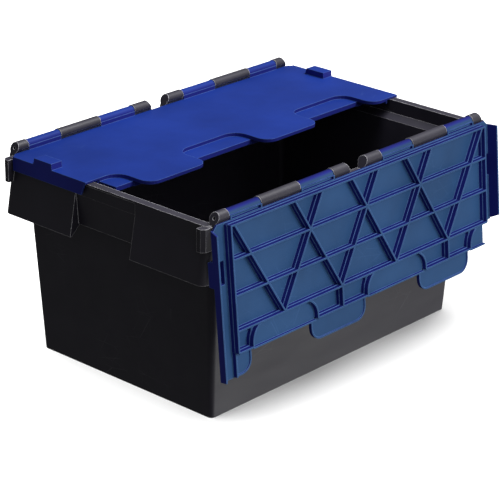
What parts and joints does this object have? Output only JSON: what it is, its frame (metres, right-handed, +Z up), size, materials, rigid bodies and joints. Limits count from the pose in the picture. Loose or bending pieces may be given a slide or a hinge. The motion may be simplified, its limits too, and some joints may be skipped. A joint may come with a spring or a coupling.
{
  "type": "attached-lid stacking crate",
  "caption": "Nesting plastic storage crate with a tapered tub, a deep gripping band and hinged half-lids that meet in a wavy line.",
  "frame": {"origin": "middle of the underside of the base, on the floor", "axes": "+X along the length, +Y towards the hinge line of the rear lid, +Z up"},
  "size_m": [0.6, 0.4282, 0.3115],
  "materials": {
    "black_plastic": "matt moulded polypropylene, nearly black",
    "blue_plastic": "moulded polypropylene with a soft sheen, royal blue",
    "rod_steel": "drawn steel rod"
  },
  "bodies": {
    "crate": {"crate_body": "black_plastic", "rear_left_hinge_rod": "rod_steel", "rear_right_hinge_rod": "rod_steel", "front_left_hinge_rod": "rod_steel", "front_right_hinge_rod": "rod_steel"},
    "rear_lid": {"rear_lid": "blue_plastic"},
    "front_lid": {"front_lid": "blue_plastic"}
  },
  "joints": [
    {"name": "rear_lid_hinge", "type": "hinge", "parent": "crate", "child": "rear_lid", "pos_m": [0, 0.19, 0.3035], "axis": [1, 0, 0], "range_deg": [-264.5, 0]},
    {"name": "front_lid_hinge", "type": "hinge", "parent": "crate", "child": "front_lid", "pos_m": [0, -0.19, 0.3035], "axis": [1, 0, 0], "range_deg": [-264.5, 0]}
  ]
}
